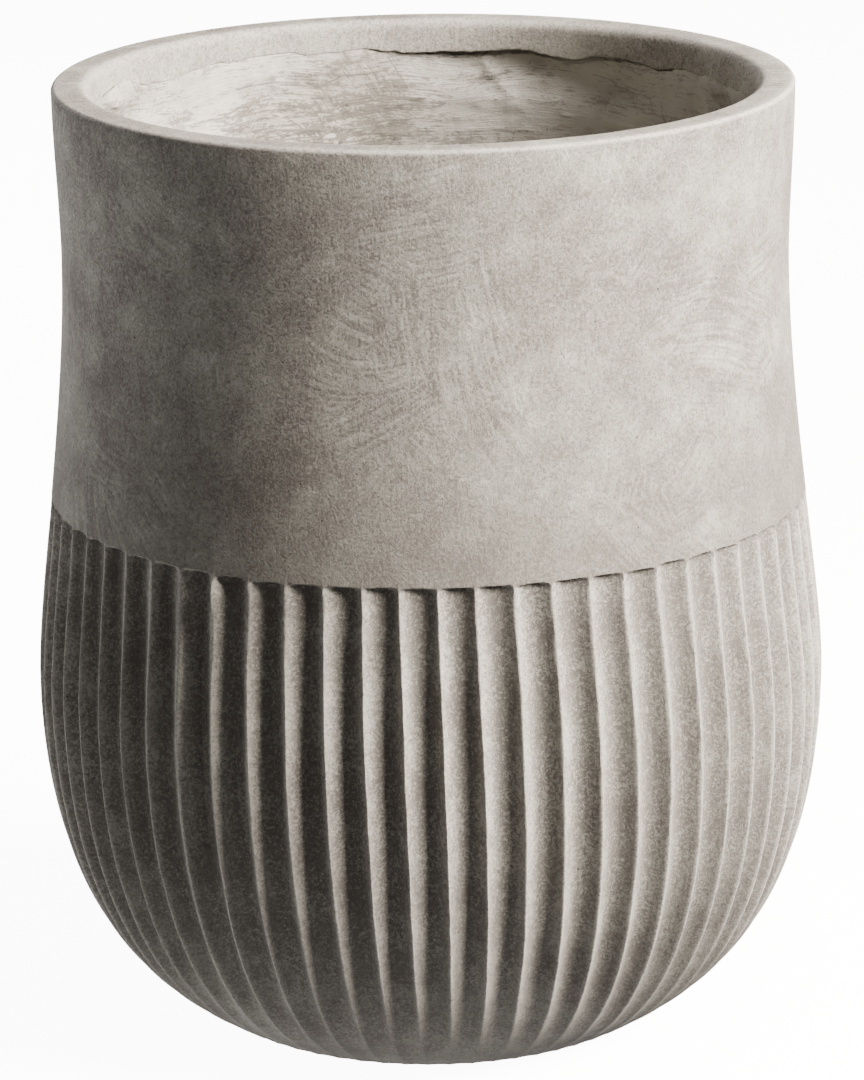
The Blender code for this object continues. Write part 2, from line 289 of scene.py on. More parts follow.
# %% [markdown]
# The inside is a backing coat, laid on by hand to make the thin casting strong. Nobody smooths it: a
# wet brush leaves ridges that run round the pot, and the grey wash catches on them in dry scratches.
# One noise squeezed along the height gives streaks that run level, whatever side they are seen from. A
# threshold cuts it off, so it scratches in some places and leaves the pale coat in others, and dabs of
# short strokes cross it where the brush turned. The wash lies thick in one broad swipe, and thin on the
# floor. On the right, where the wall shades the inside, the coat is painted paler and less scratched:
# that is painted light.

# %% The backing coat
PALE_PLASTER = (0.405, 0.388, 0.357, 1.0)
WARM_PLASTER = (0.275, 0.254, 0.226, 1.0)
SCRATCH_COLOR = (0.118, 0.105, 0.090, 1.0)
SWIPE_X = -42 * MM
SWIPE_HEIGHT = 318 * MM


def make_backing_coat():
    material, graph, place = new_material("hand laid backing coat")
    x, y, z = graph.split(place)
    bent = graph.join(x, y, z + (graph.noise(place, 60 * MM, 1.0) - 0.5) * 18 * MM)

    clouds = graph.noise(place, 40 * MM, 3.0, 0.6)
    smears = graph.noise(graph.squeezed(bent, 4.5), 34 * MM, 4.0, 0.68)
    scratches = graph.noise(graph.squeezed(bent, 20.0), 16 * MM, 4.0, 0.68)
    strokes = brush_dabs(graph, place, 30 * MM, 16 * MM, 0.9 * MM, 3.0)
    flecks = graph.noise(graph.squeezed(bent, 3.0), 3.2 * MM, 2.0, 0.6)
    crumbs = graph.noise(place, 1.6 * MM, 2.0, 0.6)

    # Painted light: on the right, in the wall's shade, the coat is made paler and less scratched.
    right = graph.ramp(x, 5 * MM, 75 * MM) * graph.ramp(y, -60 * MM, 0.0)
    swipe = graph.ramp(abs(x - SWIPE_X), 20 * MM, 46 * MM, 1.0, 0.0)
    swipe = swipe * graph.ramp(abs(z - SWIPE_HEIGHT), 8 * MM, 26 * MM, 1.0, 0.0)
    wash_and_painted_light = swipe * graph.ramp(y, 0.0, 50 * MM) * 0.10 - right * 0.04

    color = graph.mix(graph.ramp(clouds + wash_and_painted_light, 0.38, 0.68), PALE_PLASTER, WARM_PLASTER)
    smeared = graph.ramp(smears + (clouds - 0.5) * 0.5 + wash_and_painted_light, 0.52, 0.74)
    catching = (smears - 0.5) * 0.9 + (flecks - 0.5) * 0.6 + wash_and_painted_light
    scratched = graph.ramp(scratches + catching, 0.55, 0.60)
    stroked = graph.ramp(strokes + catching + (clouds - 0.5) * 0.6, 0.64, 0.71)
    # Fewer scratches on the right: painted light in the wall's shade.
    caught = (0.66 + swipe * 0.25 - right * 0.24) * graph.ramp(z, 18 * MM, 60 * MM, 0.35, 1.0)
    color = graph.mix(smeared * 0.28, color, SCRATCH_COLOR)
    color = graph.mix(graph.math("MAXIMUM", scratched, stroked) * caught, color, SCRATCH_COLOR)
    color = graph.mix(graph.ramp(crumbs + (flecks - 0.5) * 0.5, 0.60, 0.74) * 0.40, color, PALE_PLASTER)

    relief = scratches * 0.6 + smears * 0.5 + flecks * 0.35 + crumbs * 0.25
    finish_material(graph, color, 0.93, relief, 1.1 * MM, 0.85, 0.2)
    return material


backing_coat = make_backing_coat()

# %% [markdown]
# The plug and the pads are black rubber. Fresh rubber would be one flat black, but these have lain in
# cement dust: it greys them in patches and settles in the fine pebbling that the mould left.

# %% The rubber
RUBBER_BLACK = (0.021, 0.021, 0.023, 1.0)
RUBBER_DUST = (0.120, 0.112, 0.100, 1.0)


def make_rubber(name, seed):
    material, graph, place = new_material(name)
    dust = graph.noise(place, 7 * MM, 4.0, 0.65, seed)
    pebbling = graph.noise(place, 0.7 * MM, 2.0, 0.5, seed + 1.0)
    settled = graph.ramp(dust + (0.5 - pebbling) * 0.5, 0.42, 0.75)
    color = graph.mix(settled * 0.6, RUBBER_BLACK, RUBBER_DUST)
    roughness = graph.ramp(settled, 0.0, 1.0, 0.48, 0.85, "LINEAR")
    finish_material(graph, color, roughness, pebbling + dust * 0.3, 0.12 * MM, 0.7, 0.5)
    return material


plug_rubber = make_rubber("black plug rubber", 21.0)
pad_rubber = make_rubber("black pad rubber", 31.0)

# %% [markdown]
# The wall's outline is the pot's signature: it flares off a small foot, swells to a belly, draws in to
# a waist above the shoulder of the flutes and opens a little to the rim. A designer draws such a line
# with few points and long handles. Three Bezier stretches hold it here, with the same sizes as the
# solid's. The pot's height and the widest it may be come from the frame's own box.

# %% The outline of the wall
shell_low, shell_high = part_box("pot_shell")
GROUND = shell_low.z
POT_HEIGHT = shell_high.z - shell_low.z
RIM_RADIUS = 138.9 * MM
WAIST_RADIUS = 136.9 * MM
WAIST_HEIGHT = 296 * MM
BELLY_RADIUS = 150.7 * MM
BELLY_HEIGHT = 132 * MM
FOOT_RADIUS = 89.1 * MM
FOOT_FLARE = math.radians(57.0)

FOOT_PULL = 18 * MM
BELLY_PULL_DOWN = 100 * MM
BELLY_PULL_UP = 30 * MM
WAIST_PULL_DOWN = 58 * MM
WAIST_PULL_UP = 15 * MM
RIM_PULL = 22 * MM


def outline():
    """The wall's outer line at the crests, as close (radius, height) points from the foot to the rim."""
    foot = Vector((FOOT_RADIUS, 0.0))
    belly = Vector((BELLY_RADIUS, BELLY_HEIGHT))
    waist = Vector((WAIST_RADIUS, WAIST_HEIGHT))
    rim = Vector((RIM_RADIUS, POT_HEIGHT))
    flare = Vector((math.sin(FOOT_FLARE), math.cos(FOOT_FLARE)))
    up = Vector((0.0, 1.0))
    bowl = interpolate_bezier(foot, foot + FOOT_PULL * flare, belly - BELLY_PULL_DOWN * up, belly, 400)
    body = interpolate_bezier(belly, belly + BELLY_PULL_UP * up, waist - WAIST_PULL_DOWN * up, waist, 400)
    neck = interpolate_bezier(waist, waist + WAIST_PULL_UP * up, rim - RIM_PULL * up, rim, 200)
    return bowl + body[1:] + neck[1:]


OUTLINE = outline()


def wall_at(height):
    """The outline's radius at this height, and how much of its outward direction is level."""
    low, high = next(pair for pair in zip(OUTLINE, OUTLINE[1:]) if pair[1].y >= height)
    share = (height - low.y) / (high.y - low.y)
    along = (high - low).normalized()
    return low.x + (high.x - low.x) * share, along.y


def heights_between(low, high, step):
    """Heights that are evenly spaced along the outline, with both ends."""
    stretch = [Vector((wall_at(low)[0], low))]
    stretch += [point for point in OUTLINE if low < point.y < high]
    stretch += [Vector((wall_at(high)[0], high))]
    lengths = [0.0]
    for first, second in zip(stretch, stretch[1:]):
        lengths.append(lengths[-1] + (second - first).length)
    count = round(lengths[-1] / step)
    found = []
    for number in range(count + 1):
        goal = lengths[-1] * number / count
        place = next(index for index in range(1, len(lengths)) if lengths[index] >= goal - 1e-9)
        share = (goal - lengths[place - 1]) / (lengths[place] - lengths[place - 1])
        found.append(stretch[place - 1].lerp(stretch[place], share).y)
    return found


wall_length = sum((high - low).length for low, high in zip(OUTLINE, OUTLINE[1:]))
print("the wall is", round(wall_length / MM), "mm along its curve")

# %% [markdown]
# The shell starts as a plain turned blank, as a potter would leave it before the flutes are cut. Its
# rings run up the outside, over the rim, down the lip and the inside, and out through the drain hole.
# A ring has more points where there is more to carve: ten steps across each flute, five on the band,
# and one where nothing shows. Each point also carries what the tree will need: how level the wall faces
# there, whether it is part of the lip's lower edge, and whether handling rubs it.

# %% The blank of the shell
FLUTE_COUNT = 64
FLUTE_TURN = math.radians(1.5)
SHOULDER = 203.5 * MM
SHELL_WALL = 6.5 * MM
SHELL_FLOOR = 8.0 * MM
LIP_WIDTH = 14.2 * MM
LIP_DEPTH = 14.5 * MM
RIM_ROUND = 1.9 * MM
MOUTH_ROUND = 4.2 * MM
DRAIN_RADIUS = 11.0 * MM
FOOT_RING = 29.0 * MM
RECESS = 3.0 * MM
FINE, MEDIUM, PLAIN = 10, 5, 1
FLUTE_ROW = 2.5 * MM
BAND_ROW = 3.6 * MM
CLOSE_TO_SHOULDER = (-3.4, -2.8, -2.3, -1.9, -1.55, -1.2, -0.9, -0.6, -0.3, 0.0, 0.3, 0.65)
RIM_RUBBED = (0.2, 0.8, 1.0, 0.9, 0.5, 0.3)
MOUTH_RUBBED = (0.1, 0.3, 0.6, 0.7, 0.6, 0.4, 0.35)


def arc(center, radius, start, end, steps):
    """Points (radius, height) along an arc between two angles in degrees."""
    angles = [math.radians(start + (end - start) * step / steps) for step in range(steps + 1)]
    return [tuple(Vector(center) + radius * Vector((math.cos(angle), math.sin(angle)))) for angle in angles]


def new_object(name, data):
    made = bpy.data.objects.new(name, data)
    bpy.context.scene.collection.objects.link(made)
    return made


def inner_line(inset, low, high, step):
    """The wall's inner face at a depth of inset, from one height up to another."""
    face = []
    for height in heights_between(0.0, POT_HEIGHT, step):
        radius, level = wall_at(height)
        tilt = math.sqrt(1.0 - level * level)
        outwards = Vector((level, tilt if BELLY_HEIGHT <= height < WAIST_HEIGHT else -tilt))
        face.append(Vector((radius, height)) - inset * outwards)

    def at(height):
        a, b = next(pair for pair in zip(face, face[1:]) if pair[1].y >= height)
        return a.lerp(b, (height - a.y) / (b.y - a.y))

    return [at(low), *[point for point in face if low < point.y < high], at(high)]


def shell_rings():
    """Each ring's radius, height, steps across a flute, and its level, lip and rubbed numbers, if any."""
    rows = [(height, FINE) for height in heights_between(0.0, SHOULDER - 4.4 * MM, FLUTE_ROW)]
    rows += [(SHOULDER + offset * MM, FINE) for offset in CLOSE_TO_SHOULDER]
    band = heights_between(SHOULDER + 2.0 * MM, POT_HEIGHT - RIM_ROUND, BAND_ROW)
    rows += [(height, MEDIUM) for height in band]
    rings = []
    for height, steps in rows:
        radius, level = wall_at(height)
        rings.append((radius, height, steps, level))

    edge = Vector((rings[-1][0] - RIM_ROUND, POT_HEIGHT - RIM_ROUND))
    for place, rubbed in zip(arc(edge, RIM_ROUND, 0, 90, 6)[1:], RIM_RUBBED):
        rings.append((*place, MEDIUM, 0.0, 0.0, rubbed))
    mouth_radius = RIM_RADIUS - LIP_WIDTH
    mouth = Vector((mouth_radius + MOUTH_ROUND, POT_HEIGHT - MOUTH_ROUND))
    for share in (0.35, 0.7):
        rings.append((edge.x + (mouth.x - edge.x) * share, POT_HEIGHT, MEDIUM))
    for place, rubbed in zip(arc(mouth, MOUTH_ROUND, 90, 180, 6), MOUTH_RUBBED):
        rings.append((*place, MEDIUM, 0.0, 0.0, rubbed))
    lip_bottom = POT_HEIGHT - LIP_DEPTH
    for share in (0.35, 0.7, 0.9):
        height = mouth.y + (lip_bottom - mouth.y) * share
        rings.append((mouth_radius, height, MEDIUM, 0.0, share * share, 0.35))
    rings.append((mouth_radius + 0.1 * MM, lip_bottom + 0.3 * MM, MEDIUM, 0.0, 1.0, 0.3))
    rings.append((mouth_radius + 0.5 * MM, lip_bottom, MEDIUM, 0.0, 1.0))

    inside = inner_line(SHELL_WALL, SHELL_FLOOR, lip_bottom, 14 * MM)
    rings.append((*inside[-1], MEDIUM, 0.0, 1.0))
    rings += [(*place, PLAIN) for place in reversed(inside[:-1])]
    foot_inner = FOOT_RADIUS - FOOT_RING
    rings += [(DRAIN_RADIUS, SHELL_FLOOR, PLAIN), (DRAIN_RADIUS, RECESS, PLAIN)]
    return rings + [(foot_inner - RECESS, RECESS, PLAIN), (foot_inner, 0.0, PLAIN)]


def ring_blank(name, rings, turn):
    """A turned blank from closed rings, with unlike numbers of steps. A number left out is 0."""
    bm = bmesh.new()
    layers = [bm.verts.layers.float.new(title) for title in ("level", "lip", "rubbed")]
    turned = []
    for radius, height, steps, *numbers in rings:
        count = steps * FLUTE_COUNT
        ring = []
        for step in range(count):
            angle = turn + math.tau * step / count
            vertex = bm.verts.new((radius * math.cos(angle), radius * math.sin(angle), GROUND + height))
            for layer, number in zip(layers, numbers):
                vertex[layer] = number
            ring.append(vertex)
        turned.append(ring)
    for low, high in zip(turned, turned[1:] + turned[:1]):
        slices = min(len(low), len(high))
        for index in range(slices):
            face = []
            for ring, order in ((low, 1), (high, -1)):
                each = len(ring) // slices
                corners = [ring[(index * each + step) % len(ring)] for step in range(each + 1)]
                face += corners[::order]
            bm.faces.new(face)
    mesh = bpy.data.meshes.new(name)
    bm.normal_update()
    bm.to_mesh(mesh)
    bm.free()
    return new_object(name, mesh)


shell_blank = ring_blank("fluted shell blank", shell_rings(), FLUTE_TURN)
print("the blank of the shell has", len(shell_blank.data.vertices), "points")

# %% [markdown]
# Now the flutes are cut. Each is a hollow channel, its neighbours meet it at a narrow flat crest, and
# it stops dead at a level shoulder, where the band stands proud. That is a rule, so Geometry Nodes can
# do it: the angle around the pot says which flute a point is in and how far across it, and the point
# moves in by the depth of the channel there. The shape turns sharply at the crests, so the tree first
# crowds the points towards them. The mould was in two halves: the flutes lean one way on one half and
# the other way on the other, and a thin ridge stands on the seam. Then comes what makes a cast look
# cast: crests that waver, drift, wear and chip, and a lump.

# %% A form for geometry trees
KINDS = {int: "Int", float: "Float", bpy.types.Material: "Material", bpy.types.Object: "Object"}
SHARP_ANGLE = math.radians(42.0)


def new_geometry_tree(name, inputs):
    """A tree with a mesh in and out and inputs by name. It comes with its inputs and their settings."""
    tree = bpy.data.node_groups.new(name, "GeometryNodeTree")
    for way in ("INPUT", "OUTPUT"):
        tree.interface.new_socket("Geometry", in_out=way, socket_type="NodeSocketGeometry")
    settings = {}
    for title, value in inputs.items():
        kind = "NodeSocket" + KINDS[type(value)]
        socket = tree.interface.new_socket(title, in_out="INPUT", socket_type=kind)
        settings[socket.identifier] = value
    graph = Graph(tree)
    entry = graph.node("NodeGroupInput")
    named = {socket.name: Value(graph, socket) for socket in entry.outputs if socket.name}
    return graph, named, settings


def end_tree(graph, geometry, material):
    """Real meshes, with their material, to the tree's output."""
    real = graph.node("GeometryNodeRealizeInstances", inputs={"Geometry": geometry})
    inputs = {"Geometry": graph.out(real), "Material": material}
    dressed = graph.node("GeometryNodeSetMaterial", inputs=inputs)
    output = graph.node("NodeGroupOutput")
    graph.feed(output.inputs["Geometry"], graph.out(dressed))


def store(graph, geometry, name, value):
    """The same geometry, with this number written on each of its points."""
    inputs = {"Geometry": geometry, "Name": name, "Value": value}
    settings = {"data_type": "FLOAT", "domain": "POINT"}
    return graph.out(graph.node("GeometryNodeStoreNamedAttribute", settings, inputs))


def move(graph, geometry, selection, position):
    """The same geometry, with the selected points put at another position."""
    inputs = {"Geometry": geometry, "Selection": selection, "Position": position}
    return graph.out(graph.node("GeometryNodeSetPosition", inputs=inputs))


def plain_mesh(blank):
    """The mesh that the blank's modifier makes of it. The modifier and the blank go."""
    bpy.context.view_layer.update()
    evaluated = blank.evaluated_get(bpy.context.evaluated_depsgraph_get())
    mesh = bpy.data.meshes.new_from_object(evaluated)
    blank.modifiers.clear()
    bpy.data.objects.remove(blank, do_unlink=True)
    return mesh


def smooth_piece(name, mesh):
    mesh.name = name
    mesh.shade_smooth()
    mesh.set_sharp_from_angle(angle=SHARP_ANGLE)
    return new_object(name, mesh)


def carve(blank, graph, settings, name):
    """Runs the tree on the blank and keeps its result as a plain, smooth-shaded mesh."""
    modifier = blank.modifiers.new(graph.tree.name, "NODES")
    modifier.node_group = graph.tree
    for identifier, value in settings.items():
        modifier[identifier] = value
    print("to", graph.tree.name, "takes", len(graph.tree.nodes), "nodes")
    mesh = plain_mesh(blank)
    for helper in ("level", "lip", "rubbed"):
        if helper in mesh.attributes:
            mesh.attributes.remove(mesh.attributes[helper])
    return smooth_piece(name, mesh)


def report(piece):
    """Prints a piece's size and how many triangles it has."""
    corners = [vertex.co for vertex in piece.data.vertices]
    sides = [(max(c[axis] for c in corners) - min(c[axis] for c in corners)) / MM for axis in range(3)]
    triangles = sum(len(face.vertices) - 2 for face in piece.data.polygons)
    print(f"{piece.name}: {sides[0]:.1f} x {sides[1]:.1f} x {sides[2]:.1f} mm, {triangles} triangles")


# %% [markdown]
# The lip's lower edge was torn by hand when the casting was trimmed, so it is ragged. The backing coat
# was laid against it and follows it. Both trees read the same noise of the direction from the pot's
# middle, so the two edges rise and fall together and no gap opens between them.

# %% The ragged line of the lip
LIP_RISE = 3.6 * MM


def ragged_rise(graph, x, y):
    """How far the lip's lower edge is raised in this direction from the pot's middle."""
    radius = graph.math("SQRT", x * x + y * y)
    direction = graph.join(x / radius, y / radius, 0.0)
    waves = graph.noise(direction, 0.34, 1.0, 0.5, 2.0)
    nicks = graph.noise(direction, 0.060, 3.0, 0.65, 7.0) - 0.5
    return graph.ramp(waves + nicks * 0.45, 0.34, 0.66, 0.0, 1.0, "LINEAR") * LIP_RISE


# %% The tree that cuts the flutes
UNTWISTED_HEIGHT = 119 * MM


def shell_tree(material):
    graph, given, settings = new_geometry_tree("cut the flutes", {
        "Flutes": FLUTE_COUNT,
        "Turn": FLUTE_TURN,
        "Twist": math.radians(-9.3),
        "Depth": 5.2 * MM,
        "Depth at the foot": 0.3 * MM,
        "Depth at the shoulder": 3.2 * MM,
        "Run-out": 62 * MM,
        "Crest flat": 0.050,
        "Lean": 1.2,
        "Shoulder": SHOULDER,
        "Shoulder softness": 1.1 * MM,
        "Corner radius": 2.4 * MM,
        "Waver": 0.9 * MM,
        "Crest wear": 0.20 * MM,
        "Chip depth": 0.8 * MM,
        "Cast unevenness": 0.28 * MM,
        "Widest radius": shell_high.x - 0.02 * MM,
        "Crest head": 0.09 * MM,
        "Drift": 2.0 * MM,
        "Drift angle": math.radians(-106.0),
        "Seam angle": math.radians(-126.2),
        "Seam height": 1.2 * MM,
        "Lump angle": math.radians(-121.6),
        "Lump height": 1.6 * MM,
        "Seed": 4.0,
        "Material": material,
    })
    place = graph.out(graph.node("GeometryNodeInputPosition"))
    x, y, world_z = graph.split(place)
    z = world_z - GROUND
    radius = graph.math("SQRT", x * x + y * y)
    level = graph.attribute("level")
    on_wall = graph.math("GREATER_THAN", level, 0.01)
    around = graph.math("ARCTAN2", y, x)
    line = given["Shoulder"]

    # Which flute each point is in, and how far across it
    pitch = math.tau / given["Flutes"]
    turns = (around - given["Turn"]) / pitch + 0.0001
    flute = graph.math("FLOOR", turns)
    across = turns - flute
    even = 0.5 - graph.math("COSINE", across * math.pi) * 0.5
    crowded = even - graph.math("SINE", even * math.tau) * 0.3 / math.tau

    def per_crest(index, grain, seed):
        """A noise that runs down each crest, with its own course for each."""
        own = graph.math("FLOORED_MODULO", index, given["Flutes"]) * 7.31
        return graph.noise(graph.join(own, z / grain, given["Seed"]), 1.0, 2.0, 0.5, seed)

    # How far the crests stray sideways
    left, right = [per_crest(crest, 60 * MM, 1.0) + (per_crest(crest, 7 * MM, 2.0) - 0.5) * 0.4
                   for crest in (flute, flute + 1.0)]
    waver = left + (right - left) * crowded - 0.5
    below = 1.0 - graph.ramp(z, line + 1 * MM, line + 9 * MM)
    twist = (z - UNTWISTED_HEIGHT) * given["Twist"]
    off_drift = abs(around - given["Drift angle"])
    drift = graph.ramp(off_drift, 0.0, math.radians(30.0), 1.0, 0.0) * given["Drift"] / radius
    swing = (twist + waver * 2.0 * given["Waver"] / radius + drift) * below
    angle = (flute + across + (crowded - across) * below) * pitch + given["Turn"] + swing

    # The leaning section of the channel, and its depth at each height
    middle = (flute + 0.5) * pitch + given["Turn"]
    first_half = graph.math("GREATER_THAN", graph.math("SINE", middle - given["Seam angle"]), 0.0)
    from_side = crowded * first_half + (1.0 - crowded) * (1.0 - first_half)
    leaning = graph.math("POWER", from_side, given["Lean"])
    hollow = leaning * (1.0 - leaning) * 4.0
    section = graph.math("MAXIMUM", hollow - given["Crest flat"], 0.0) / (1.0 - given["Crest flat"])
    fade = graph.ramp(z, 0.0, given["Run-out"])
    rise = graph.ramp(z, line - 60 * MM, line)
    full = given["Depth"] * (0.92 + per_crest(flute, 90 * MM, 5.0) * 0.16)
    lower = given["Depth at the foot"] + (full - given["Depth at the foot"]) * fade
    depth = lower + (given["Depth at the shoulder"] - full) * rise

    # Wear and chips on the crests
    nearest = graph.math("FLOOR", turns + 0.5)
    to_crest = graph.math("MINIMUM", crowded, 1.0 - crowded) * pitch * radius
    thin = 1.0 - graph.ramp(to_crest, 0.0, 0.5 * MM)
    broad = 1.0 - graph.ramp(to_crest, 0.0, 2.4 * MM)
    wear = given["Crest wear"] * (0.4 + per_crest(nearest, 9 * MM, 3.0) * 1.2)
    chips = graph.ramp(per_crest(nearest, 4.5 * MM, 9.0), 0.66, 0.78) * given["Chip depth"]
    near_top = graph.ramp(z, line - 16 * MM, line - 4 * MM)
    shallow = (per_crest(flute, 14 * MM, 12.0) - 0.5) * (0.5 + near_top * 1.2) * MM

    # The shoulder, with a round corner at each side of a flute's top
    corner = given["Corner radius"]
    into_corner = graph.math("MAXIMUM", corner - to_crest, 0.0)
    drop = corner - graph.math("SQRT", corner * corner - into_corner * into_corner)
    ragged = (graph.noise(place, 2.6 * MM, 2.0, 0.6, 14.0) - 0.5) * 1.9 * MM
    top = line - drop + (per_crest(flute, 40 * MM, 8.0) - 0.5) * 2.0 * MM + ragged
    shoulder = 1.0 - graph.ramp(z, top - given["Shoulder softness"], top)

    # The seam's ridge, the lump beside it, and the crests' raised heads
    seam_turn = around - given["Seam angle"]
    seam_gap = abs(seam_turn + swing * 0.5 + (crowded - across) * pitch) * radius
    seam = (1.0 - graph.ramp(seam_gap, 0.0, 1.5 * MM)) * given["Seam height"]
    lump_across = (around - given["Lump angle"]) * radius / (4.5 * MM)
    lump_down = (line - 8 * MM - z) / (7.0 * MM)
    lump = 1.0 - graph.ramp(lump_across * lump_across + lump_down * lump_down, 0.0, 1.0)
    head = thin * graph.ramp(z, line - 12 * MM, line - 2 * MM) * given["Crest head"]
    head = head * (1.0 - graph.ramp(z, line + 0.3 * MM, line + 2.0 * MM))

    # All of it together
    cut = section * depth * shoulder / graph.math("MAXIMUM", level, 0.4)
    cut = cut + (wear * thin + chips * broad) * shoulder * fade + section * shallow * shoulder
    cut = cut - seam * shoulder * fade - lump * given["Lump height"] * shoulder - head
    uneven = (graph.noise(place, 55 * MM, 2.0, 0.5, 6.0) - 0.5) * 2.0 * given["Cast unevenness"]
    carved = graph.math("MINIMUM", radius - cut + uneven, given["Widest radius"])
    wall_place = graph.join(carved * graph.math("COSINE", angle), carved * graph.math("SINE", angle), world_z)

    lip_place = graph.join(x, y, world_z + ragged_rise(graph, x, y) * graph.attribute("lip"))
    # Near the crests the coat is made paler: partly wear, partly a painted highlight.
    crest = (thin * 0.75 + broad * 0.4) * shoulder * fade * on_wall + graph.attribute("rubbed")
    geometry = store(graph, given["Geometry"], "groove", section * shoulder * fade * on_wall)
    geometry = store(graph, geometry, "crest", crest)
    geometry = move(graph, geometry, on_wall, wall_place)
    geometry = move(graph, geometry, 1.0 - on_wall, lip_place)
    end_tree(graph, geometry, given["Material"])
    return graph, settings


fluted_shell = carve(shell_blank, *shell_tree(face_coat), "fluted_shell")
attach(fluted_shell, "pot")
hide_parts("pot_shell")
report(fluted_shell)

# %% [markdown]
# The backing coat is a second skin inside the shell. It could be one more smooth bowl, but it shows
# right across the mouth, and what shows is that a hand laid it: the brush left ridges that run round,
# the trowel left flats, and near the lip a flake of plaster stands away from the wall. The blank is
# turned again, with its own points close together. Its tree pushes the inner face in and out by three
# noises, the widest first, and leaves the floor flat where the plug's flange seals on it. It also draws
# raised seams, scoops one hollow, and builds the coat up to the lip elsewhere.

# %% The backing coat's blank
LINING_GAP = 0.3 * MM
LINING_WALL = 5.0 * MM
LINING_FLOOR = 7.0 * MM
LINING_ROW = 1.35 * MM
LINING_LOW_ROW = 3.6 * MM
LINING_SEEN = 240 * MM
LINING_STEPS = 9


def lining_rings():
    """Each ring's radius, height, steps in a sixty-fourth of a turn, and its relief and lip numbers."""
    underside = SHELL_FLOOR + LINING_GAP
    floor = underside + LINING_FLOOR
    top = POT_HEIGHT - LIP_DEPTH - LINING_GAP
    inset = SHELL_WALL + LINING_GAP
    rings = [(*place, PLAIN) for place in inner_line(inset, underside, top, 14 * MM)]
    rings[-1] = (*rings[-1][:2], LINING_STEPS, 0.0, 1.0)
    seen = inner_line(inset + LINING_WALL, LINING_SEEN, top, LINING_ROW)
    deep = inner_line(inset + LINING_WALL, floor, LINING_SEEN, LINING_LOW_ROW)
    for place in reversed(deep[:-1] + seen):
        below_lip = max(0.0, 1.0 - (top - place.y) / (9 * MM))
        near_floor = min(1.0, (place.y - floor) / (6 * MM))
        steps = LINING_STEPS if place.y >= LINING_SEEN else LINING_STEPS // 3
        rings.append((*place, steps, min(1.0 - below_lip * 0.5, near_floor), below_lip))
    floor_radius = rings[-1][0]
    for share in (0.9, 0.75, 0.6, 0.45, 0.33):
        rings.append((floor_radius * share, floor, PLAIN, 0.35 * share))
    return rings + [(DRAIN_RADIUS, floor, PLAIN), (DRAIN_RADIUS, underside, PLAIN)]


lining_blank = ring_blank("lining blank", lining_rings(), FLUTE_TURN)


# %% The tree that trowels it
def lining_tree(material):
    graph, given, settings = new_geometry_tree("trowel the coat", {
        "Swell": 1.3 * MM,
        "Ridges": 1.0 * MM,
        "Drags": 0.7 * MM,
        "Scoop depth": 2.8 * MM,
        "Scoop angle": math.radians(66.0),
        "Seam ridge": 1.9 * MM,
        "Flake": 3.0 * MM,
        "Cover": 2.0 * MM,
        "Seed": 5.0,
        "Material": material,
    })
    place = graph.out(graph.node("GeometryNodeInputPosition"))
    x, y, z = graph.split(place)
    normal = graph.out(graph.node("GeometryNodeInputNormal"))
    swell = graph.noise(place, 45 * MM, 2.0, 0.5, given["Seed"]) - 0.5
    ridges = graph.noise(graph.squeezed(place, 3.4), 30 * MM, 3.0, 0.6, given["Seed"] + 1.0) - 0.5
    drags = graph.noise(graph.squeezed(place, 5.0), 15 * MM, 4.0, 0.65, given["Seed"] + 2.0)
    crests = graph.ramp(drags, 0.50, 0.58)

    around = graph.math("ARCTAN2", y, x)
    under_lip = POT_HEIGHT + GROUND - LIP_DEPTH - z
    wobble = (graph.noise(place, 13 * MM, 2.0, 0.5, given["Seed"] + 3.0) - 0.5) * 12 * MM
    from_scoop = abs(around - given["Scoop angle"])
    scoop = graph.ramp(from_scoop, math.radians(14), math.radians(34), 1.0, 0.0)
    scoop = scoop * graph.ramp(under_lip + wobble, 7 * MM, 20 * MM, 1.0, 0.0)

    def ridge(angle, lean, start, end, width):
        """A raised line down the wall at an angle in degrees, between two depths below the lip."""
        off = (around - math.radians(angle)) * 125 * MM + under_lip * lean + wobble * 0.35
        line = graph.ramp(abs(off), 0.0, width, 1.0, 0.0)
        line = line * graph.ramp(under_lip, start, start + 3 * MM)
        return line * graph.ramp(under_lip, end - 8 * MM, end, 1.0, 0.0)

    seams = ridge(43.5, 0.10, 4 * MM, 46 * MM, 3.2 * MM) + ridge(80.5, 0.80, 0.0, 21 * MM, 4.0 * MM) * 0.9
    seams = seams * 0.5 + ridge(101.0, -1.5, 0.0, 15 * MM, 3.6 * MM) * 0.5
    cover = graph.ramp(from_scoop, math.radians(20), math.radians(42))
    cover = cover * graph.ramp(under_lip + wobble, 1 * MM, 13 * MM, 1.0, 0.0)

    flake_side = (around - math.radians(160.0)) * 60 * MM
    flake_edge = abs(flake_side + under_lip * 0.5) + under_lip * 0.55 + wobble * 0.15
    flake = graph.ramp(flake_edge, 7.5 * MM, 9.5 * MM, 1.0, 0.0)

    push = swell * 2.0 * given["Swell"] + ridges * 2.0 * given["Ridges"] + crests * given["Drags"]
    relief = push * graph.attribute("level") + seams * given["Seam ridge"] + flake * given["Flake"]
    relief = relief - scoop * given["Scoop depth"] + cover * given["Cover"]
    inner = graph.math("GREATER_THAN", graph.attribute("level"), 0.01)
    moved = graph.vector("ADD", place, graph.vector("SCALE", normal, relief * inner))
    rise = graph.join(0.0, 0.0, ragged_rise(graph, x, y) * graph.attribute("lip"))
    geometry = move(graph, given["Geometry"], True, graph.vector("ADD", moved, rise))
    end_tree(graph, geometry, given["Material"])
    return graph, settings


trowelled_lining = carve(lining_blank, *lining_tree(backing_coat), "trowelled_lining")
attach(trowelled_lining, "pot")
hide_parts("inner_lining")
report(trowelled_lining)

